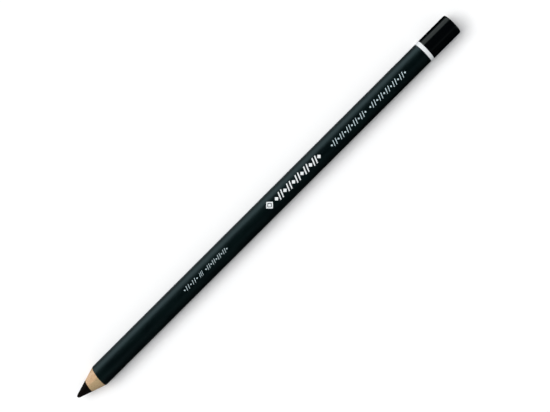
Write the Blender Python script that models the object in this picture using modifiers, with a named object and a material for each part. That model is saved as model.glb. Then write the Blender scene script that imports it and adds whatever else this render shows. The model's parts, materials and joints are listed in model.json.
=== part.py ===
"""A round wood-cased marking pencil, lying on its side along X.

Everything is in metres. The origin is the centre of the flat butt end, +X runs along the pencil
to its writing tip, and +Z is up. Each piece is turned about a local Z axis that starts at the
butt end, and one empty lays that axis along X.
"""

import math

import bmesh
import bpy

# Driving dimensions of the finished pencil.
LENGTH = 0.175
BARREL_DIAMETER = 0.0076
CORE_DIAMETER = 0.0044
POINT_HALF_ANGLE = math.radians(16.9)
TIP_ROUNDING = 0.00076
BLACK_DIP_DEPTH = 0.01218
WHITE_DIP_DEPTH = 0.01354
RIM_ROUNDING = 0.0006

# Thin coats, and the clearance that keeps neighbouring pieces apart.
LACQUER_WALL = 0.00008
DIP_WALL = 0.00003
DIP_END_WALL = 0.00010
GLUE_WALL = 0.00006
GAP = 0.00002

# Each coat's rounded rim at the butt end is this much tighter than that of the coat outside it.
RIM_STEP = 0.00010

# Resolution of the round shapes.
TURN_STEPS = 64
ARC_STEPS = 6
MERGE_DISTANCE = 1e-6
SHARP_ANGLE = math.radians(30)

# Radii that follow from the driving dimensions, from the axis outwards.
CORE_RADIUS = CORE_DIAMETER / 2
GLUE_INNER = CORE_RADIUS + GAP
GLUE_OUTER = GLUE_INNER + GLUE_WALL
GROOVE_RADIUS = GLUE_OUTER + GAP
BARREL_RADIUS = BARREL_DIAMETER / 2
LACQUER_INNER = BARREL_RADIUS - LACQUER_WALL
CASING_RADIUS = LACQUER_INNER - GAP
WHITE_INNER = BARREL_RADIUS + GAP
WHITE_OUTER = WHITE_INNER + DIP_WALL
BLACK_INNER = WHITE_OUTER + GAP
BLACK_OUTER = BLACK_INNER + DIP_WALL

# Levels along the axis at the butt end, from outside to inside.
BLACK_INNER_END = DIP_END_WALL
WHITE_OUTER_END = BLACK_INNER_END + GAP
WHITE_INNER_END = WHITE_OUTER_END + DIP_END_WALL
BASE_END = WHITE_INNER_END + GAP

# Rounding of the rim at the butt end, surface by surface.
BLACK_INNER_RIM = RIM_ROUNDING - RIM_STEP
WHITE_OUTER_RIM = BLACK_INNER_RIM - GAP
WHITE_INNER_RIM = WHITE_OUTER_RIM - RIM_STEP
BASE_RIM = WHITE_INNER_RIM - GAP

# Half the thickness of the glue line between the slats, and where each slat's flat starts.
GLUE_LINE_HALF = GLUE_WALL / 2
SLAT_FLAT = GLUE_LINE_HALF + GAP

# How far a cutter reaches past the shape it cuts.
OVERSHOOT = 0.002


def point_level(radius):
    """Level along the axis at which the sharpened cone has this radius."""
    cone_start = LENGTH - TIP_ROUNDING * (1 - math.sin(POINT_HALF_ANGLE))
    start_radius = TIP_ROUNDING * math.cos(POINT_HALF_ANGLE)
    return cone_start - (radius - start_radius) / math.tan(POINT_HALF_ANGLE)


def arc(centre_radius, centre_level, radius, start, end, steps=ARC_STEPS):
    """Points of an arc in the profile plane, with angles measured from the radial direction."""
    points = []
    for i in range(steps + 1):
        angle = start + (end - start) * i / steps
        points.append((centre_radius + radius * math.cos(angle), centre_level + radius * math.sin(angle)))
    return points


def rounded_rim(radius, end_level, rounding):
    """Rounded outer edge at the butt end, from the side down to the flat end."""
    return arc(radius - rounding, end_level + rounding, rounding, 0, -math.pi / 2)


def core_profile():
    """The core: a rounded tip, the sharpened cone and a plain cylinder."""
    tip = arc(0, LENGTH - TIP_ROUNDING, TIP_ROUNDING, math.pi / 2, POINT_HALF_ANGLE)
    tip[0] = (0, LENGTH)
    return tip + [(CORE_RADIUS, point_level(CORE_RADIUS)), (CORE_RADIUS, BASE_END), (0, BASE_END)]


def casing_profile():
    """The whole casing as a solid, before it is grooved and parted."""
    top_radius = CORE_RADIUS / 2
    top = [(0, point_level(top_radius)), (top_radius, point_level(top_radius))]
    side = [(CASING_RADIUS, point_level(CASING_RADIUS))]
    centre = BARREL_RADIUS - BASE_RIM
    start = -math.acos((CASING_RADIUS - centre) / BASE_RIM)
    rim = arc(centre, BASE_END + BASE_RIM, BASE_RIM, start, -math.pi / 2)
    return top + side + rim + [(0, BASE_END)]


def lacquer_profile():
    """A closed tube section, bevelled by the sharpened cone and rounded at the butt end."""
    centre = BARREL_RADIUS - BASE_RIM
    end = -math.acos((LACQUER_INNER - centre) / BASE_RIM)
    rim = arc(centre, BASE_END + BASE_RIM, BASE_RIM, 0, end)
    outside = [(BARREL_RADIUS, point_level(BARREL_RADIUS))] + rim
    return outside + [(LACQUER_INNER, point_level(LACQUER_INNER))]


def dip_profile(depth, outer, inner):
    """A cup: each surface is given as its radius, the level of its end and its rim's rounding."""
    inside = [(0, inner[1])] + rounded_rim(*inner)[::-1] + [(inner[0], depth)]
    outside = [(outer[0], depth)] + rounded_rim(*outer) + [(0, outer[1])]
    return inside + outside


def clear_scene():
    for item in list(bpy.data.objects):
        bpy.data.objects.remove(item, do_unlink=True)


def new_collection(name):
    collection = bpy.data.collections.new(name)
    bpy.context.scene.collection.children.link(collection)
    return collection


def place(bm, name, collection, axis):
    """Makes an object of a bmesh and hangs it on the empty that carries the pencil's axis."""
    mesh = bpy.data.meshes.new(name)
    bm.to_mesh(mesh)
    bm.free()
    item = bpy.data.objects.new(name, mesh)
    collection.objects.link(item)
    item.parent = axis
    return item


def turned(name, profile, collection, axis, closed=False):
    """Turns a profile, given as (radius, level) points, about the axis."""
    bm = bmesh.new()
    verts = [bm.verts.new((radius, 0, level)) for radius, level in profile]
    for first, second in zip(verts, verts[1:]):
        bm.edges.new((first, second))
    if closed:
        bm.edges.new((verts[-1], verts[0]))
    item = place(bm, name, collection, axis)
    screw = item.modifiers.new("turn", "SCREW")
    screw.axis = "Z"
    screw.angle = math.tau
    screw.steps = TURN_STEPS
    screw.render_steps = TURN_STEPS
    screw.use_merge_vertices = True
    screw.merge_threshold = MERGE_DISTANCE
    return item


def rod(name, radius, collection, axis):
    """A cylinder on the axis that reaches past both ends of the pencil."""
    bm = bmesh.new()
    bmesh.ops.create_cone(bm, cap_ends=True, segments=TURN_STEPS, radius1=radius, radius2=radius,
                          depth=LENGTH + 2 * OVERSHOOT)
    bmesh.ops.translate(bm, verts=bm.verts, vec=(0, 0, LENGTH / 2))
    return place(bm, name, collection, axis)


def block(name, x_low, x_high, collection, axis):
    """A box between two planes parallel to the parting plane, wider and longer than the pencil."""
    bm = bmesh.new()
    bmesh.ops.create_cube(bm, size=1)
    size = (x_high - x_low, BARREL_DIAMETER + 2 * OVERSHOOT, LENGTH + 2 * OVERSHOOT)
    bmesh.ops.scale(bm, verts=bm.verts, vec=size)
    bmesh.ops.translate(bm, verts=bm.verts, vec=((x_low + x_high) / 2, 0, LENGTH / 2))
    return place(bm, name, collection, axis)


def as_cutter(item):
    item.hide_render = True
    item.display_type = "WIRE"
    return item


def combine(item, operation, other):
    modifier = item.modifiers.new(operation.lower(), "BOOLEAN")
    modifier.operation = operation
    modifier.solver = "EXACT"
    modifier.object = other


def material(name, colour, roughness):
    made = bpy.data.materials.new(name)
    made.use_nodes = True
    shader = made.node_tree.nodes["Principled BSDF"]
    shader.inputs["Base Color"].default_value = (*colour, 1)
    shader.inputs["Roughness"].default_value = roughness
    shader.inputs["Metallic"].default_value = 0
    return made


def finish(item, surface):
    """Applies the modifiers, so that only the edges between faces that meet at an angle stay sharp."""
    bpy.context.view_layer.update()
    evaluated = item.evaluated_get(bpy.context.evaluated_depsgraph_get())
    mesh = bpy.data.meshes.new_from_object(evaluated)
    mesh.name = item.name
    item.modifiers.clear()
    item.data = mesh
    mesh.shade_smooth()
    mesh.set_sharp_from_angle(angle=SHARP_ANGLE)
    mesh.materials.clear()
    mesh.materials.append(surface)


def build_core(parts, axis):
    core = turned("marking_core", core_profile(), parts, axis)
    finish(core, material("black_wax_core", (0.012, 0.010, 0.009), 0.5))


def build_casing(parts, cutters, axis):
    """Two equal slats, each with half of the groove for the core."""
    groove = as_cutter(rod("groove_cutter", GROOVE_RADIUS, cutters, axis))
    other_half = block("other_half_cutter", -SLAT_FLAT, BARREL_DIAMETER, cutters, axis)
    upper = turned("upper_slat", casing_profile(), parts, axis)
    combine(upper, "DIFFERENCE", groove)
    combine(upper, "DIFFERENCE", as_cutter(other_half))
    finish(upper, material("cedar", (0.58, 0.38, 0.20), 0.7))
    lower = bpy.data.objects.new("lower_slat", upper.data)
    parts.objects.link(lower)
    lower.parent = axis
    lower.rotation_euler.z = math.pi


def build_glue(parts, cutters, axis):
    """A film between the slats' flats that opens into a thin sleeve around the core."""
    outline = as_cutter(turned("casing_cutter", casing_profile(), cutters, axis))
    sleeve = as_cutter(rod("glue_sleeve", GLUE_OUTER, cutters, axis))
    bore = as_cutter(rod("glue_bore_cutter", GLUE_INNER, cutters, axis))
    glue = block("glue_film", -GLUE_LINE_HALF, GLUE_LINE_HALF, parts, axis)
    combine(glue, "UNION", sleeve)
    combine(glue, "INTERSECT", outline)
    combine(glue, "DIFFERENCE", bore)
    finish(glue, material("dried_glue", (0.72, 0.62, 0.42), 0.5))


def build_coats(parts, axis):
    """The lacquer on the barrel, and the two coats that the butt end is dipped in."""
    lacquer = turned("barrel_lacquer", lacquer_profile(), parts, axis, closed=True)
    finish(lacquer, material("black_lacquer", (0.004, 0.009, 0.011), 0.3))
    white_outside = (WHITE_OUTER, WHITE_OUTER_END, WHITE_OUTER_RIM)
    white_inside = (WHITE_INNER, WHITE_INNER_END, WHITE_INNER_RIM)
    white_profile = dip_profile(WHITE_DIP_DEPTH, white_outside, white_inside)
    white = turned("white_dip", white_profile, parts, axis)
    finish(white, material("white_enamel", (0.85, 0.87, 0.87), 0.35))
    black_outside = (BLACK_OUTER, 0, RIM_ROUNDING)
    black_inside = (BLACK_INNER, BLACK_INNER_END, BLACK_INNER_RIM)
    black_profile = dip_profile(BLACK_DIP_DEPTH, black_outside, black_inside)
    black = turned("black_dip", black_profile, parts, axis)
    finish(black, material("black_enamel", (0.003, 0.003, 0.004), 0.12))


def main():
    clear_scene()
    parts = new_collection("marking_pencil")
    cutters = new_collection("cutters")
    axis = bpy.data.objects.new("pencil_axis", None)
    axis.rotation_euler.y = math.pi / 2
    parts.objects.link(axis)
    build_core(parts, axis)
    build_casing(parts, cutters, axis)
    build_glue(parts, cutters, axis)
    build_coats(parts, axis)


main()
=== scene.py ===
"""The looks of a round wood-cased marking pencil: a hand-sharpened point, a printed black barrel
and an end dipped white, then black. Everything is in metres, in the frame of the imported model."""
import json
import math

import bmesh
import bpy
from mathutils import Matrix, Vector, noise

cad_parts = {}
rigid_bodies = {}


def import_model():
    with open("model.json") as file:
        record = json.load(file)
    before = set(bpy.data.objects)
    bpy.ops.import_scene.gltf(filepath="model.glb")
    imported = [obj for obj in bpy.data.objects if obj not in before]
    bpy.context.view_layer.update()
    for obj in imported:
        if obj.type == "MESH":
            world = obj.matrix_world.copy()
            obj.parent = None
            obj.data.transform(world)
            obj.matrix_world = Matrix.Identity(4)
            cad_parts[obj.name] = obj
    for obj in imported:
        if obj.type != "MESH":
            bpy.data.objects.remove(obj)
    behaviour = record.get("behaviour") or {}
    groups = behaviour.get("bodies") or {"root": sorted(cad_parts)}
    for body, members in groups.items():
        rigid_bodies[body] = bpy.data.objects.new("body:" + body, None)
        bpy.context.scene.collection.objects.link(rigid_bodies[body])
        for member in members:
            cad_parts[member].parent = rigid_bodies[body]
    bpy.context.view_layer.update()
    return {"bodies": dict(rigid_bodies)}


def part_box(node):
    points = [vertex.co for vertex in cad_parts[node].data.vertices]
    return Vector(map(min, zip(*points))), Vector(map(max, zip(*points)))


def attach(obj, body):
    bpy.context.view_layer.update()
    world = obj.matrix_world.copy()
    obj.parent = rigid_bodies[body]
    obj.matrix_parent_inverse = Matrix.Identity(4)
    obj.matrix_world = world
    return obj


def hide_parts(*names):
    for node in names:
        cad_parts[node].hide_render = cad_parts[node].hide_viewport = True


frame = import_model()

MM = 0.001
BODY = next(iter(frame["bodies"]))

# ---------------------------------------------------------------- sizes read from the frame

LACQUER_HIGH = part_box("barrel_lacquer")[1]
SLAT_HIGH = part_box("upper_slat")[1]
GLUE_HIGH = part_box("glue_film")[1]
CORE_LOW, CORE_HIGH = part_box("marking_core")
WHITE_LOW, WHITE_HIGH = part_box("white_dip")
BLACK_LOW, BLACK_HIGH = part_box("black_dip")

FIT_GAP = 0.02 * MM
TIP_X = CORE_HIGH.x
BUTT_X = BLACK_LOW.x
BASE_X = CORE_LOW.x
BARREL_RADIUS = LACQUER_HIGH.z
CASING_RADIUS = SLAT_HIGH.z
CORE_RADIUS = CORE_HIGH.z

# The dipped coats are thinner than the CAD's solids, which need a clearance between them.
WHITE_RADIUS = BARREL_RADIUS + 0.022 * MM
BLACK_RADIUS = BARREL_RADIUS + 0.045 * MM

# The sharpened cone: how fast it widens, its radius if it ran on to the tip, and the tip's rounding.
CONE_SLOPE = (BARREL_RADIUS - CORE_RADIUS - FIT_GAP) / (GLUE_HIGH.x - LACQUER_HIGH.x)
CONE_START = BARREL_RADIUS - CONE_SLOPE * (TIP_X - LACQUER_HIGH.x)
HALF_ANGLE = math.atan(CONE_SLOPE)
TIP_ROUNDING = CONE_START * math.cos(HALF_ANGLE) / (1 - math.sin(HALF_ANGLE))

# ---------------------------------------------------------------- small irregularities

# The point was cut a little askew: its axis leaves the tip beside the barrel's axis and leans across it.
POINT_OFFSET = 0.09 * MM
POINT_LEAN = 0.023
CORE_OFFSET = 0.11 * MM

SKIN_GAP = 0.005 * MM
GLUE_LINE = 0.02 * MM
WELD = 0.0001 * MM
SMOOTH_ANGLE = math.radians(35)


def wobble(turn, x, cell, seed):
    """Smooth noise between about -1 and 1 that closes on itself round the barrel."""
    spot = Vector((math.cos(turn), math.sin(turn), x / cell)) * (BARREL_RADIUS / cell)
    spot.z = x / cell + seed
    return noise.noise(spot)


def point_shift(depth):
    """Sideways shift of the point's own axis at a distance behind the tip."""
    return POINT_OFFSET - POINT_LEAN * depth


def point_radius(depth):
    """Radius of the sharpened surface about its own axis at a distance behind the tip."""
    if depth < TIP_ROUNDING * (1 - math.sin(HALF_ANGLE)):
        return math.sqrt(max(0, depth * (2 * TIP_ROUNDING - depth)))
    return CONE_START + CONE_SLOPE * depth


def cut_depth(turn, radius, offset=0):
    """Distance behind the tip at which the cone cuts a cylinder of this radius."""
    side = math.sin(turn)
    return (radius - CONE_START - (POINT_OFFSET - offset) * side) / (CONE_SLOPE - POINT_LEAN * side)


def at(x, radius, turn):
    """A point beside the axis. turn is 0 at the top and a quarter turn on the side that faces -Y."""
    return (x, -radius * math.sin(turn), radius * math.cos(turn))


def on_cone(depth, turn, relief=0):
    """A point on the sharpened surface, given by its distance behind the tip."""
    radius = point_radius(depth) + point_shift(depth) * math.sin(turn) + relief
    return at(TIP_X - depth, radius, turn)


# ---------------------------------------------------------------- mesh building


def spread(start, end, steps, ease=1.0):
    """Evenly spaced values; an ease above 1 packs them closer to the start."""
    return [start + (end - start) * (i / steps) ** ease for i in range(steps + 1)]


def turns(columns):
    return [math.tau * i / columns for i in range(columns)]


def loft(bm, sections, closed=True):
    """Joins equal closed sections with quads. An open run of sections gets a face at each end."""
    rows = [[bm.verts.new(place) for place in section] for section in sections]
    followers = rows[1:] + rows[:1] if closed else rows[1:]
    for near, far in zip(rows, followers):
        for i in range(len(near)):
            j = (i + 1) % len(near)
            bm.faces.new((near[i], near[j], far[j], far[i]))
    if not closed:
        bm.faces.new(rows[0])
        bm.faces.new(rows[-1][::-1])


def piece(name, bm, surface, slot, *nodes):
    """Welds and closes a mesh, gives it its material and lets it ride on the pencil."""
    bmesh.ops.remove_doubles(bm, verts=bm.verts, dist=WELD)
    loose = [edge for edge in bm.edges if not edge.link_faces]
    bmesh.ops.delete(bm, geom=loose, context="EDGES")
    bmesh.ops.recalc_face_normals(bm, faces=bm.faces)
    mesh = bpy.data.meshes.new(name)
    bm.to_mesh(mesh)
    bm.free()
    mesh.shade_smooth()
    mesh.set_sharp_from_angle(angle=SMOOTH_ANGLE)
    mesh.materials.append(surface)
    made = bpy.data.objects.new(name, mesh)
    bpy.context.scene.collection.objects.link(made)
    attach(made, BODY)
    if nodes:
        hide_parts(*nodes)


def rim(x, radius, rounding, steps=8):
    """Rounded edge at the butt end, as (x, radius) pairs from the side to the flat end."""
    out = []
    for angle in spread(0, math.pi / 2, steps):
        out.append((x + rounding * (1 - math.sin(angle)), radius - rounding * (1 - math.cos(angle))))
    return out


# ---------------------------------------------------------------- node helpers


def add(tree, kind, inputs=None, **settings):
    """Adds a shader node. An input is given by name or number, as a value or as another socket."""
    made = tree.nodes.new("ShaderNode" + kind)
    for key, value in settings.items():
        setattr(made, key, value)
    for key, value in (inputs or {}).items():
        if isinstance(value, bpy.types.NodeSocket):
            tree.links.new(value, made.inputs[key])
        else:
            made.inputs[key].default_value = value
    return made


def material(name):
    made = bpy.data.materials.new(name)
    made.use_nodes = True
    return made, made.node_tree, made.node_tree.nodes["Principled BSDF"]


def place_socket(tree):
    return add(tree, "TexCoord").outputs["Object"]


def grain(tree, cell, detail=2.0, shift=0.0):
    """Noise whose cells have the given size along X, Y and Z."""
    scale = tuple(1 / size for size in cell)
    spot = add(tree, "VectorMath", {0: place_socket(tree), 1: scale, 2: (shift,) * 3},
               operation="MULTIPLY_ADD")
    return add(tree, "TexNoise", {"Vector": spot.outputs[0], "Scale": 1.0, "Detail": detail}).outputs["Fac"]


def remap(tree, value, low, high, to_low=0.0, to_high=1.0):
    inputs = {"Value": value, "From Min": low, "From Max": high, "To Min": to_low, "To Max": to_high}
    return add(tree, "MapRange", inputs).outputs["Result"]


def blend_colour(tree, share, first, second):
    """Mixes two colours, given as RGB values or sockets."""
    made = add(tree, "Mix", {"Factor": share}, data_type="RGBA")
    for index, value in ((6, first), (7, second)):
        if isinstance(value, bpy.types.NodeSocket):
            tree.links.new(value, made.inputs[index])
        else:
            made.inputs[index].default_value = (*value, 1)
    return made.outputs[2]


def calculate(tree, operation, first, second):
    return add(tree, "Math", {0: first, 1: second}, operation=operation).outputs[0]


def relief(tree, *layers):
    """Stacks bumps, each given as a height socket and the depth it stands for."""
    normal = None
    for height, depth in layers:
        inputs = {"Height": height, "Distance": depth, "Strength": 1.0}
        if normal is not None:
            inputs["Normal"] = normal
        normal = add(tree, "Bump", inputs).outputs["Normal"]
    return normal


def connect(tree, shader, sockets):
    for key, value in sockets.items():
        if isinstance(value, bpy.types.NodeSocket):
            tree.links.new(value, shader.inputs[key])
        elif isinstance(value, tuple):
            shader.inputs[key].default_value = (*value, 1)
        else:
            shader.inputs[key].default_value = value


# ---------------------------------------------------------------- materials


def lacquer_material():
    """Satin black with a trace of teal, drawn lengthwise as the barrel was pushed through its coats."""
    made, tree, shader = material("black_lacquer")
    cloud = grain(tree, (9 * MM, 2.2 * MM, 2.2 * MM))
    streak = grain(tree, (22 * MM, 0.35 * MM, 0.35 * MM), 3.0)
    peel = grain(tree, (0.9 * MM, 0.6 * MM, 0.6 * MM))
    dark, light = (0.0001, 0.0024, 0.0030), (0.0006, 0.0052, 0.0050)
    teal = blend_colour(tree, remap(tree, cloud, 0.3, 0.7), dark, light)
    cloudy = remap(tree, cloud, 0.3, 0.7, 0.33, 0.39)
    drawn = calculate(tree, "ADD", cloudy, remap(tree, streak, 0.3, 0.7, 0.0, 0.06))
    connect(tree, shader, {
        "Base Color": teal,
        "Roughness": drawn,
        "IOR": 1.52,
        "Specular IOR Level": 0.76,
        "Specular Tint": (0.60, 0.92, 1.0),
        "Normal": relief(tree, (streak, 0.0012 * MM), (peel, 0.0010 * MM)),
    })
    return made


def black_dip_material():
    """Deep gloss black, with the slight flow of a dipped coat."""
    made, tree, shader = material("black_enamel")
    flow = grain(tree, (3.0 * MM, 1.6 * MM, 1.6 * MM))
    smear = grain(tree, (1.2 * MM, 0.8 * MM, 0.8 * MM), 3.0)
    connect(tree, shader, {
        "Base Color": blend_colour(tree, flow, (0.0006, 0.0012, 0.0016), (0.0012, 0.0018, 0.0022)),
        "Roughness": remap(tree, smear, 0.3, 0.7, 0.09, 0.15),
        "IOR": 1.5,
        "Specular Tint": (0.86, 1.0, 0.96),
        "Normal": relief(tree, (flow, 0.004 * MM)),
    })
    return made


def white_dip_material():
    made, tree, shader = material("white_enamel")
    cloud = grain(tree, (0.8 * MM, 0.8 * MM, 0.8 * MM), 3.0)
    thin = grain(tree, (0.5 * MM, 2.0 * MM, 2.0 * MM))
    colour = blend_colour(tree, cloud, (0.70, 0.73, 0.75), (0.76, 0.79, 0.80))
    connect(tree, shader, {
        "Base Color": colour,
        "Roughness": remap(tree, cloud, 0.3, 0.7, 0.28, 0.38),
        "IOR": 1.5,
        "Normal": relief(tree, (thin, 0.004 * MM)),
    })
    return made


def wood_material():
    """Pale, fine-grained softwood: fibres, pores and shaving marks, with painted shade on the side away
    from the key.
    """
    made, tree, shader = material("cedar")
    band = grain(tree, (30 * MM, 0.55 * MM, 1.4 * MM), 2.0)
    fibre = grain(tree, (3.2 * MM, 0.09 * MM, 0.09 * MM), 3.0, 5.0)
    mottle = grain(tree, (1.0 * MM, 0.35 * MM, 0.35 * MM), 2.0, 7.0)
    pore = grain(tree, (1.3 * MM, 0.14 * MM, 0.14 * MM), 0.0, 11.0)
    shaving = grain(tree, (0.06 * MM, 1.6 * MM, 1.6 * MM), 2.0)
    # Painted shade: the wood is darkened towards +Y, the side turned away from the key. The grain band
    # makes the shade's edge waver and also varies the wood's own tone.
    across = add(tree, "SeparateXYZ", {0: place_socket(tree)}).outputs["Y"]
    bent = calculate(tree, "ADD", across, remap(tree, band, 0.3, 0.7, -0.5 * MM, 0.5 * MM))
    painted_shade_mask = remap(tree, bent, -0.7 * MM, 0.2 * MM)
    wood_tone = blend_colour(tree, remap(tree, band, 0.35, 0.65), (0.57, 0.375, 0.215), (0.70, 0.505, 0.345))
    wood_with_painted_shade = blend_colour(tree, painted_shade_mask, wood_tone, (0.385, 0.298, 0.163))
    mottled = blend_colour(tree, remap(tree, mottle, 0.40, 0.75, 0.0, 0.55), wood_with_painted_shade, (0.40, 0.25, 0.13))
    fibred = blend_colour(tree, remap(tree, fibre, 0.38, 0.68, 0.0, 0.55), mottled, (0.37, 0.23, 0.12))
    colour = blend_colour(tree, remap(tree, pore, 0.71, 0.77, 0.0, 0.8), fibred, (0.19, 0.10, 0.045))
    connect(tree, shader, {
        "Base Color": colour,
        "Roughness": remap(tree, fibre, 0.3, 0.7, 0.62, 0.78),
        "Specular IOR Level": 0.3,
        "Normal": relief(tree, (shaving, 0.010 * MM), (fibre, 0.010 * MM)),
    })
    return made


def core_material():
    """Dense black wax: dull, with fine turned lines where the blade cut it and a few glinting grains."""
    made, tree, shader = material("black_wax_core")
    turned = grain(tree, (0.10 * MM, 1.4 * MM, 1.4 * MM), 3.0)
    crumb = grain(tree, (0.16 * MM, 0.16 * MM, 0.16 * MM), 2.0, 3.0)
    lines = remap(tree, turned, 0.35, 0.65, 0.3, 1.0)
    marks = calculate(tree, "MULTIPLY", lines, remap(tree, crumb, 0.3, 0.7))
    connect(tree, shader, {
        "Base Color": blend_colour(tree, marks, (0.0008, 0.0004, 0.0003), (0.0062, 0.0036, 0.0026)),
        "Roughness": remap(tree, turned, 0.35, 0.65, 0.46, 0.66),
        "Specular IOR Level": 0.12,
        "Normal": relief(tree, (turned, 0.016 * MM), (crumb, 0.008 * MM)),
    })
    return made


def glue_material():
    made, tree, shader = material("dried_glue")
    cloud = grain(tree, (0.6 * MM, 0.2 * MM, 0.2 * MM))
    connect(tree, shader, {
        "Base Color": blend_colour(tree, cloud, (0.20, 0.12, 0.055), (0.34, 0.22, 0.11)),
        "Roughness": 0.5,
    })
    return made


def print_material(name, fresh):
    """White foil print, a little uneven where the stamp pressed lightly. Thin strokes take less foil."""
    made, tree, shader = material(name)
    speck = grain(tree, (0.10 * MM, 0.10 * MM, 0.10 * MM), 2.0)
    press = grain(tree, (3 * MM, 1 * MM, 1 * MM))
    worn = calculate(tree, "MULTIPLY", remap(tree, speck, 0.60, 0.72), remap(tree, press, 0.35, 0.65))
    connect(tree, shader, {
        "Base Color": blend_colour(tree, worn, fresh, (0.30, 0.34, 0.35)),
        "Roughness": 0.42,
    })
    return made


# ---------------------------------------------------------------- the barrel's lacquer

LACQUER_COLUMNS = 192
LACQUER_INNER = CASING_RADIUS + FIT_GAP
EDGE_ROUNDING = 0.03 * MM
LACQUER_BACK = BASE_X + 0.1 * MM
LACQUER_CORNER = BASE_X + 0.4 * MM


def edge_wear(turn):
    """How far the lacquer has flaked back from the cut edge: a soft wave with a few small nicks."""
    wave = wobble(turn, 0, 1.5 * MM, 3.1)
    nick = max(0, wobble(turn, 0, 0.35 * MM, 8.7) - 0.30)
    return 0.05 * MM * wave + 0.22 * MM * nick


def barrel_section(turn):
    """One lengthwise section: down the outside from the cut edge, round the butt rim, back inside."""
    wear = edge_wear(turn)
    front = TIP_X - cut_depth(turn, BARREL_RADIUS) - wear
    under = TIP_X - cut_depth(turn, LACQUER_INNER) - 0.5 * wear
    places = [at(front + EDGE_ROUNDING, BARREL_RADIUS - EDGE_ROUNDING, turn)]
    for x in spread(front, LACQUER_CORNER, 96, 1.6):
        swell = 0.004 * MM * wobble(turn, x, 7 * MM, 1.3)
        places.append(at(x, BARREL_RADIUS + swell, turn))
    places.append(at(LACQUER_BACK, LACQUER_INNER + FIT_GAP, turn))
    places.append(at(LACQUER_BACK, LACQUER_INNER, turn))
    places.append(at(under, LACQUER_INNER, turn))
    return places


def build_lacquer():
    bm = bmesh.new()
    loft(bm, [barrel_section(turn) for turn in turns(LACQUER_COLUMNS)])
    piece("barrel_lacquer_coat", bm, lacquer_material(), "lacquer", "barrel_lacquer")


# ---------------------------------------------------------------- the wood

WOOD_COLUMNS = 96
BODY_COLUMNS = 48
WOOD_RADIUS = LACQUER_INNER - SKIN_GAP
GROOVE = CORE_RADIUS + GLUE_LINE + 2 * SKIN_GAP
SLAT_EDGE = math.radians(0.35)
BUTT_BEVEL = 0.3 * MM
BEVEL_START = BASE_X + 0.35 * MM
POINT_BACK = LACQUER_HIGH.x - 1.2 * MM

# The sharpener's marks fade out over this distance, so that neighbouring pieces meet cleanly.
FADE = 0.3 * MM


def groove_radius(turn, radius):
    """The core lies a little off the barrel's axis, and the groove follows it."""
    return radius + CORE_OFFSET * math.sin(turn)


def shaving_relief(turn, depth):
    """Low turned ridges and flats that the sharpener's blade leaves on the wood."""
    ridge = wobble(turn, depth, 0.45 * MM, 21.0)
    flat = wobble(turn, 0.2 * depth, 1.7 * MM, 33.0)
    return 0.006 * MM * ridge + 0.010 * MM * flat


def slat_point_section(turn):
    """From the back, along the cone to the core and back along the groove."""
    outer = cut_depth(turn, WOOD_RADIUS)
    inner = cut_depth(turn, GROOVE, CORE_OFFSET)
    places = [at(POINT_BACK, WOOD_RADIUS, turn)]
    for depth in spread(outer, inner, 72):
        fade = min(1, (outer - depth) / FADE, (depth - inner) / FADE)
        places.append(on_cone(depth, turn, shaving_relief(turn, depth) * fade))
    places.append(at(POINT_BACK, groove_radius(turn, GROOVE), turn))
    return places


def slat_body_section(turn):
    """From the end of the point piece to the butt end, inside the lacquer."""
    groove = groove_radius(turn, GROOVE)
    outside = [at(x, WOOD_RADIUS, turn) for x in spread(POINT_BACK - SKIN_GAP, BEVEL_START, 12)]
    end = [at(BASE_X, WOOD_RADIUS - BUTT_BEVEL, turn), at(BASE_X, groove, turn)]
    inside = [at(POINT_BACK - SKIN_GAP, groove, turn)]
    return outside + end + inside


def half_turn(centre, columns):
    """Turns that cover one slat, up to its glued flats."""
    reach = math.pi / 2 - SLAT_EDGE
    return spread(centre - reach, centre + reach, columns)


def build_slats():
    surface = wood_material()
    for name, centre in (("upper_slat", 0), ("lower_slat", math.pi)):
        bm = bmesh.new()
        loft(bm, [slat_point_section(turn) for turn in half_turn(centre, WOOD_COLUMNS)], closed=False)
        piece(name + "_point", bm, surface, "casing", name)
        bm = bmesh.new()
        loft(bm, [slat_body_section(turn) for turn in half_turn(centre, BODY_COLUMNS)], closed=False)
        piece(name + "_body", bm, surface, "casing", name)


def build_glue():
    """A thin sleeve round the core, and a film in the parting plane on each side of it."""
    bm = bmesh.new()
    sections = []
    inner = CORE_RADIUS + SKIN_GAP
    outer = inner + GLUE_LINE - SKIN_GAP
    for turn in turns(WOOD_COLUMNS):
        sections.append([
            at(TIP_X - cut_depth(turn, outer, CORE_OFFSET), groove_radius(turn, outer), turn),
            at(BASE_X, groove_radius(turn, outer), turn),
            at(BASE_X, groove_radius(turn, inner), turn),
            at(TIP_X - cut_depth(turn, inner, CORE_OFFSET), groove_radius(turn, inner), turn),
        ])
    loft(bm, sections)
    half = Vector((0, 0, 0.4 * SLAT_EDGE * GROOVE))
    for turn in (math.pi / 2, -math.pi / 2):
        last = WOOD_RADIUS - SKIN_GAP
        strips = []
        for radius in spread(groove_radius(turn, GROOVE + SKIN_GAP), last, 12):
            back = Vector(at(BASE_X + max(0, radius - last + BUTT_BEVEL), radius, turn))
            front = Vector(on_cone(cut_depth(turn, radius), turn))
            strips.append([back - half, front - half, front + half, back + half])
        loft(bm, strips, closed=False)
    piece("glue_line", bm, glue_material(), "glue", "glue_film")


# ---------------------------------------------------------------- the core

ROD_COLUMNS = 64
CORE_CUT = 0.008 * MM
TIP_FADE = 0.8 * MM


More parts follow.
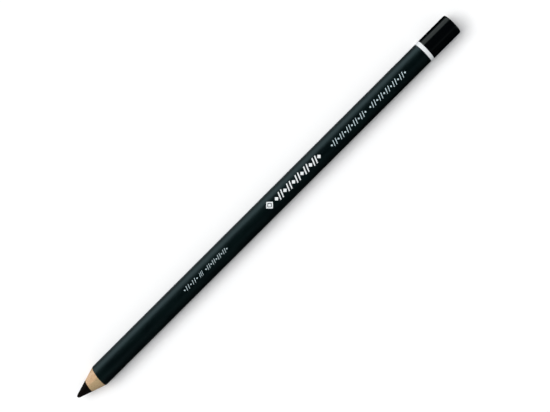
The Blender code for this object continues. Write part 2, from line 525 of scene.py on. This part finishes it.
def core_point_section(turn):
    """From the rounded tip along the cone, then back inside the casing to the axis."""
    edge = cut_depth(turn, CORE_RADIUS, CORE_OFFSET)
    places = []
    round_end = TIP_ROUNDING * (1 - math.sin(HALF_ANGLE))
    for depth in spread(0, round_end, 10, 2.0) + spread(round_end, edge, 64)[1:]:
        fade = min(1, depth / TIP_FADE, (edge - depth) / FADE)
        cut = wobble(turn, depth, 0.30 * MM, 51.0) + wobble(turn, 0, 0.9 * MM, 57.0)
        radius = point_radius(depth) + CORE_CUT * cut * fade
        shift = point_shift(depth)
        places.append((TIP_X - depth, -shift - radius * math.sin(turn), radius * math.cos(turn)))
    back = groove_radius(turn, CORE_RADIUS)
    places.append(at(POINT_BACK, back, turn))
    places.append(at(POINT_BACK, 0, turn))
    return places


def core_rod_section(turn):
    radius = groove_radius(turn, CORE_RADIUS)
    places = [at(POINT_BACK - SKIN_GAP, 0, turn)]
    places += [at(x, radius, turn) for x in spread(POINT_BACK - SKIN_GAP, BASE_X, 12)]
    return places + [at(BASE_X, 0, turn)]


def build_core():
    surface = core_material()
    bm = bmesh.new()
    loft(bm, [core_point_section(turn) for turn in turns(WOOD_COLUMNS)])
    piece("core_point", bm, surface, "core", "marking_core")
    bm = bmesh.new()
    loft(bm, [core_rod_section(turn) for turn in turns(ROD_COLUMNS)])
    piece("core_rod", bm, surface, "core", "marking_core")


# ---------------------------------------------------------------- the dipped end

DIP_COLUMNS = 128
DIP_SKEW = 0.03
COAT_EDGE = 0.12 * MM
BUTT_ROUNDING = 0.6 * MM
BLACK_INNER_RIM = 0.5 * MM
WHITE_OUTER_RIM = 0.48 * MM
WHITE_INNER_RIM = 0.40 * MM
DOME = 0.03 * MM


def white_section(turn):
    """The white coat as a cup, with a soft edge towards the barrel."""
    edge = WHITE_HIGH.x + 0.02 * MM * wobble(turn, 0, 1.2 * MM, 61.0)
    inner = BARREL_RADIUS + SKIN_GAP
    outside = [at(edge, inner, turn)]
    for share in (0.15, 0.4, 0.7, 1.0):
        height = math.sin(share * math.pi / 2)
        outside.append(at(edge - COAT_EDGE * share, inner + (WHITE_RADIUS - inner) * height, turn))
    outside += [at(x, WHITE_RADIUS, turn) for x in spread(edge - 0.3 * MM, BLACK_HIGH.x, 6)]
    outside += [at(x, radius, turn) for x, radius in rim(WHITE_LOW.x, WHITE_RADIUS, WHITE_OUTER_RIM)]
    outside.append(at(WHITE_LOW.x, 0, turn))
    inside_end = BASE_X - FIT_GAP
    inside = [at(inside_end, 0, turn)]
    inside += [at(x, radius, turn) for x, radius in rim(inside_end, inner, WHITE_INNER_RIM)[::-1]]
    return outside + inside


def black_section(turn):
    """The glossy cap: a thickened edge over the white coat, a rounded rim and a slightly domed end."""
    edge = BLACK_HIGH.x - DIP_SKEW * BARREL_RADIUS * math.sin(turn)
    edge += 0.025 * MM * wobble(turn, 0, 1.0 * MM, 71.0)
    inner = WHITE_RADIUS + SKIN_GAP
    outside = [at(edge, inner, turn)]
    for share in (0.1, 0.3, 0.6, 1.0):
        height = math.sin(share * math.pi / 2)
        outside.append(at(edge - COAT_EDGE * share, inner + (BLACK_RADIUS - inner) * height, turn))
    for x in spread(edge - 0.25 * MM, BUTT_X + BUTT_ROUNDING + 0.1 * MM, 40):
        bead = 0.012 * MM * math.exp(-((edge - x) / (0.5 * MM)) ** 2)
        sag = 0.004 * MM * wobble(turn, x, 4 * MM, 77.0)
        outside.append(at(x, BLACK_RADIUS + bead + sag, turn))
    outside += [at(x, radius, turn) for x, radius in rim(BUTT_X, BLACK_RADIUS, BUTT_ROUNDING, 14)]
    flat = BLACK_RADIUS - BUTT_ROUNDING
    for radius in spread(flat, 0, 10)[1:]:
        outside.append(at(BUTT_X - DOME * (1 - (radius / flat) ** 2) ** 2, radius, turn))
    inside_end = WHITE_LOW.x - FIT_GAP
    inside = [at(inside_end, 0, turn)]
    inside += [at(x, radius, turn) for x, radius in rim(inside_end, inner, BLACK_INNER_RIM)[::-1]]
    return outside + inside


def build_dips():
    bm = bmesh.new()
    loft(bm, [white_section(turn) for turn in turns(DIP_COLUMNS)])
    piece("white_dip_coat", bm, white_dip_material(), "white_enamel", "white_dip")
    bm = bmesh.new()
    loft(bm, [black_section(turn) for turn in turns(DIP_COLUMNS)])
    piece("black_dip_coat", bm, black_dip_material(), "black_enamel", "black_dip")


# ---------------------------------------------------------------- the print

PRINT_LIFT = 0.008 * MM
PRINT_SINK = 0.010 * MM
SIDE_STEPS = 6

# The ornament's figures in a box that is one unit high: a diamond, and a bar that leans by this much.
DIAMOND = ((0.5, 0), (0, 0.5), (-0.5, 0), (0, -0.5))
BAR_LEAN = 0.40

# The share of a bar's lean that it takes up in a row, where its neighbours lean the same way.
LEAN_SHARE = 0.6

# A style is a row's height, the stroke of its bars along the row, and the size of its diamonds.
BOLD = (2.5 * MM, 0.47 * MM, 1.5 * MM)
LIGHT = (1.9 * MM, 0.25 * MM, 0.74 * MM)
SMALL = (1.5 * MM, 0.18 * MM, 0.56 * MM)
TIGHT = (1.5 * MM, 0.14 * MM, 0.56 * MM)

EMBLEM_PLACE = 90.65 * MM
EMBLEM_TURN = math.radians(3)
BOLD_TURN = math.radians(1)
SMALL_TURN = math.radians(0.5)
LIGHT_TURN = math.radians(-5)


def bar_corners(stroke):
    """A slanted bar one unit high; its stroke is measured along the row."""
    near = (BAR_LEAN + stroke) / 2
    far = (BAR_LEAN - stroke) / 2
    return ((near, 0.5), (far, 0.5), (-near, -0.5), (-far, -0.5))


def with_steps(corners):
    """The corners of a figure, with each side divided so that it can bend round the barrel."""
    points = []
    for (u0, v0), (u1, v1) in zip(corners, corners[1:] + corners[:1]):
        for i in range(SIDE_STEPS):
            share = i / SIDE_STEPS
            points.append((u0 + (u1 - u0) * share, v0 + (v1 - v0) * share))
    return points


def add_figure(bm, distance, turn, corners, size, hole):
    """A raised figure wrapped on the barrel, centred at a distance behind the tip."""
    sections = []
    scales = spread(size, size * hole, 3)
    for u, v in with_steps(corners):
        turned = [(TIP_X - distance - u * scale, turn + v * scale / BARREL_RADIUS) for scale in scales]
        top = [at(x, BARREL_RADIUS + PRINT_LIFT, angle) for x, angle in turned]
        low = [at(x, BARREL_RADIUS - PRINT_SINK, angle) for x, angle in turned]
        sections.append(top + low[::-1])
    loft(bm, sections)


def add_row(bm, start, end, turn, pattern, style):
    """Small diamonds (*) and slanted bars (/) from one distance behind the tip to another."""
    height, stroke, diamond = style
    figures = {
        "*": (diamond, DIAMOND, diamond),
        "/": (LEAN_SHARE * BAR_LEAN * height + stroke, bar_corners(stroke / height), height),
    }
    widths = [figures[mark][0] for mark in pattern]
    gap = (end - start - sum(widths)) / (len(pattern) - 1)
    distance = start
    for mark, width in zip(pattern, widths):
        _, corners, size = figures[mark]
        add_figure(bm, distance + width / 2, turn, corners, size, 0)
        distance += width + gap


def build_bold_print():
    """A double diamond as an emblem, and a row of thick bars behind it."""
    bm = bmesh.new()
    add_figure(bm, EMBLEM_PLACE, EMBLEM_TURN, DIAMOND, 3.1 * MM, 0.64)
    add_figure(bm, EMBLEM_PLACE, EMBLEM_TURN, DIAMOND, 1.3 * MM, 0)
    add_row(bm, 93.0 * MM, 114.1 * MM, BOLD_TURN, "*//*//*//*//*//*", BOLD)
    piece("barrel_bold_print", bm, print_material("bold_foil", (0.80, 0.84, 0.85)), "white_enamel")


def build_fine_print():
    """Three small rows near the point, and two light ones near the butt end."""
    bm = bmesh.new()
    add_row(bm, 50.8 * MM, 57.1 * MM, SMALL_TURN, "*//*//*", SMALL)
    add_row(bm, 57.9 * MM, 59.6 * MM, SMALL_TURN, "///", TIGHT)
    add_row(bm, 60.7 * MM, 70.9 * MM, SMALL_TURN, "*//*//*//*//*", SMALL)
    add_row(bm, 118.5 * MM, 134.7 * MM, LIGHT_TURN, "*//*//*//*//*//*", LIGHT)
    add_row(bm, 136.2 * MM, 152.8 * MM, LIGHT_TURN, "*//*//*//*//*//*", LIGHT)
    piece("barrel_fine_print", bm, print_material("fine_foil", (0.53, 0.66, 0.70)), "white_enamel")


# ---------------------------------------------------------------- stage, light and camera

# The key is a patch of soft suns, placed by their slopes along and across the pencil.
KEY_ALONG = spread(0.15, 0.90, 3)
KEY_ACROSS = spread(0.15, 0.75, 2)
KEY_STRENGTH = 2.5
KEY_ANGLE = math.radians(16)

# The surround's strength, as light on the pencil and as the camera sees it behind the floor.
SURROUND_LIGHT = 0.45
SURROUND_SEEN = 1.05

FLOOR_REACH = 20
FLOOR_GAP = 0.02 * MM
SOFTBOX_DISTANCE = 0.6

CAMERA_DISTANCE = 461 * MM
CAMERA_LEAN = math.radians(2.55)
CAMERA_ROLL = math.radians(44.92)
CAMERA_SHIFT = (3.75 * MM, 1.97 * MM)
CAMERA_LENS = 91.37


def floor_material():
    made, tree, shader = material("pale_floor")
    connect(tree, shader, {
        "Base Color": (0.90, 0.90, 0.90),
        "Roughness": 0.9,
        "Specular IOR Level": 0.0,
        "Emission Color": (1.0, 1.0, 1.0),
        "Emission Strength": 0.08,
    })
    return made


def build_floor():
    """A plain pale floor that isn't mirrored in the gloss and lets lamps below its level shine through."""
    mesh = bpy.data.meshes.new("floor")
    bm = bmesh.new()
    bmesh.ops.create_grid(bm, x_segments=1, y_segments=1, size=FLOOR_REACH)
    bm.to_mesh(mesh)
    bm.free()
    mesh.materials.append(floor_material())
    floor = bpy.data.objects.new("floor", mesh)
    floor.location.z = BLACK_LOW.z - FLOOR_GAP
    floor.visible_glossy = False
    floor.visible_shadow = False
    bpy.context.scene.collection.objects.link(floor)


def softbox(name, place, size, energy):
    """A rectangular lamp that only shows in the gloss, parallel to the pencil and turned to face it."""
    data = bpy.data.lights.new(name, "AREA")
    data.shape = "RECTANGLE"
    data.size, data.size_y = size
    data.energy = energy
    made = bpy.data.objects.new(name, data)
    made.location = place
    made.rotation_euler.x = math.atan2(-place[1], place[2])
    made.visible_diffuse = False
    bpy.context.scene.collection.objects.link(made)


def beside(elevation, side, along=0):
    """A place beside the pencil, at an elevation above the floor and a distance along from its middle."""
    outwards = side * SOFTBOX_DISTANCE * math.cos(elevation)
    return (TIP_X / 2 + along, outwards, SOFTBOX_DISTANCE * math.sin(elevation))


def soft_sun(direction, strength):
    """A sun of the key, which leaves no mark in the gloss. The direction points towards it."""
    data = bpy.data.lights.new("key", "SUN")
    data.energy = strength
    data.angle = KEY_ANGLE
    made = bpy.data.objects.new("key", data)
    made.rotation_euler = Vector(direction).to_track_quat("Z", "Y").to_euler()
    made.visible_glossy = False
    bpy.context.scene.collection.objects.link(made)


def build_lights():
    """A key that is long in the pencil's direction, an even surround, and softboxes for the gloss."""
    share = KEY_STRENGTH / (len(KEY_ALONG) * len(KEY_ACROSS))
    for along in KEY_ALONG:
        for across in KEY_ACROSS:
            soft_sun((along, -across, 1), share)
    softbox("gloss_softbox", beside(math.radians(15), -1), (1.6, 0.55), 2.5)
    softbox("gloss_floor", beside(math.radians(-48), -1, 0.34), (0.94, 0.36), 0.35)
    softbox("gloss_fill", beside(math.radians(49), 1), (1.6, 0.16), 0.06)
    for along in (-0.72, 0.72):
        softbox("gloss_back", beside(math.radians(25), 1, along), (0.66, 0.5), 0.7)
    world = bpy.data.worlds.new("surround")
    bpy.context.scene.world = world
    world.use_nodes = True
    tree = world.node_tree
    background = tree.nodes["Background"]
    seen = add(tree, "LightPath").outputs["Is Camera Ray"]
    background.inputs["Color"].default_value = (0.97, 0.985, 1.0, 1)
    strength = remap(tree, seen, 0, 1, SURROUND_LIGHT, SURROUND_SEEN)
    tree.links.new(strength, background.inputs["Strength"])
    world.cycles_visibility.glossy = False


def build_camera():
    """Looks down on the pencil, which runs across the picture at a slant with its butt end nearer."""
    lean = Vector((math.sin(CAMERA_LEAN), 0, -math.cos(CAMERA_LEAN)))
    towards_butt = (Vector((-1, 0, 0)) - lean * lean.dot(Vector((-1, 0, 0)))).normalized()
    right = Matrix.Rotation(-CAMERA_ROLL, 3, -lean) @ towards_butt
    up = (-lean).cross(right)
    middle = Vector(((TIP_X + BUTT_X) / 2, 0, 0))
    data = bpy.data.cameras.new("camera")
    data.lens = CAMERA_LENS
    data.clip_start = 0.01
    camera = bpy.data.objects.new("camera", data)
    basis = Matrix((right, up, -lean)).transposed()
    place = middle - lean * CAMERA_DISTANCE + right * CAMERA_SHIFT[0] + up * CAMERA_SHIFT[1]
    camera.matrix_world = Matrix.Translation(place) @ basis.to_4x4()
    bpy.context.scene.collection.objects.link(camera)
    bpy.context.scene.camera = camera


def use_plain_colours():
    """Shows the colours as they are, so that a pale floor stays pale."""
    settings = bpy.context.scene.view_settings
    settings.view_transform = "Standard"
    settings.look = "None"


build_lacquer()
build_slats()
build_glue()
build_core()
build_dips()
build_bold_print()
build_fine_print()
build_floor()
build_lights()
build_camera()
use_plain_colours()
